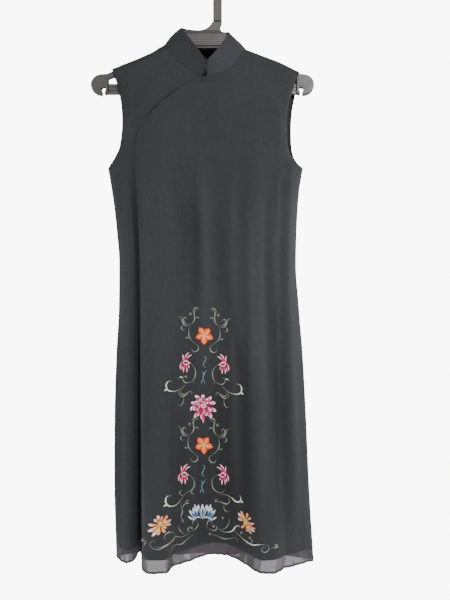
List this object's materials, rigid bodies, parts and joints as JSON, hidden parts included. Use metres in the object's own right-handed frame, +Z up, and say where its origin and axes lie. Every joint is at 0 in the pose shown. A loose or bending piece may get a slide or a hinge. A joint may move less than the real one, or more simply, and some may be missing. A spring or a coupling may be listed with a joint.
{
  "type": "cheongsam dress and hanger",
  "caption": "Knee-length sleeveless cheongsam with stand collar, slanted placket, sheer hem and flower embroidery, hung on a moulded hanger.",
  "frame": {"origin": "inner top of the hanger's hook, where a rail holds it", "axes": "+Z up, -Y the way the dress's front faces, +X to the viewer's right as seen from the front"},
  "size_m": [0.446, 0.1134, 1.1711],
  "materials": {
    "shell": "matt charcoal georgette over a dark lining",
    "lining": "dark smooth lining",
    "snap": "clear moulded press stud",
    "fastening": "small bent wire",
    "hanger": "dark grey-brown moulded plastic"
  },
  "bodies": {
    "root": {"front": "shell", "front_side": "shell", "back": "shell", "collar": "shell", "lining_front": "lining", "lining_back": "lining", "placket_snap_1": "snap", "placket_snap_2": "snap", "placket_snap_3": "snap", "placket_snap_4": "snap", "placket_snap_5": "snap", "collar_hook": "fastening", "collar_eye": "fastening", "hanger_shoulders": "hanger", "hanger_bar": "hanger", "hanger_hook": "hanger"}
  },
  "joints": []
}
